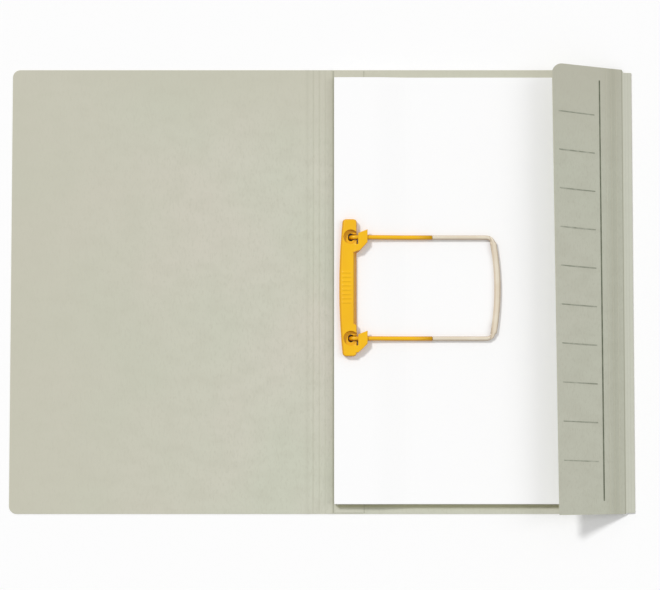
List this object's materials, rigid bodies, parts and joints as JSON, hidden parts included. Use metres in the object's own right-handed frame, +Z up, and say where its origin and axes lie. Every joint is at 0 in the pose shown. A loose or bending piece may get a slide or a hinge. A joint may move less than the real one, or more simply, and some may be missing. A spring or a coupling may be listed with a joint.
{
  "type": "flap folder",
  "caption": "Card folder opened flat, with a scored spine, a fold-in flap on the right and a yellow two-hole file clip with a transfer bow that holds a block of papers.",
  "frame": {"origin": "middle of the open folder's outline, on the plane it lies on", "axes": "+X across the open folder from the front cover towards the flap, +Y towards the folder's top edge, +Z up from the table"},
  "size_m": [0.4931, 0.353, 0.0313],
  "materials": {
    "card": "uncoated grey-green folder card with a fine fibre mottle",
    "paper_white": "plain white office sheets in a block",
    "clip_yellow": "satin moulded yellow plastic",
    "bow_ivory": "satin moulded ivory plastic"
  },
  "bodies": {
    "back": {"back_cover": "card", "fastener_strip": "card", "paper_stack": "paper_white", "clip_base": "clip_yellow", "press_bar": "clip_yellow"},
    "spine": {"spine_panel": "card"},
    "front": {"front_cover": "card"},
    "flap": {"flap": "card"},
    "bow": {"transfer_bow": "bow_ivory"}
  },
  "joints": [
    {"name": "spine_fold", "type": "hinge", "parent": "back", "child": "spine", "pos_m": [0.0077, 0, 0.0005], "axis": [0, 1, 0], "range_deg": [0, 87]},
    {"name": "cover_fold", "type": "hinge", "parent": "spine", "child": "front", "pos_m": [-0.0115, 0, 0.0005], "axis": [0, 1, 0], "range_deg": [0, 87]},
    {"name": "flap_fold", "type": "hinge", "parent": "back", "child": "flap", "pos_m": [0.2465, 0, 0.00065], "axis": [0, 1, 0], "range_deg": [-5, 150]},
    {"name": "bow_pull", "type": "slide", "parent": "back", "child": "bow", "axis": [1, 0, 0], "range_m": [0, 0.016]}
  ],
  "couplings": [
    {"joint": "cover_fold", "follows": "spine_fold", "ratio": 1}
  ]
}
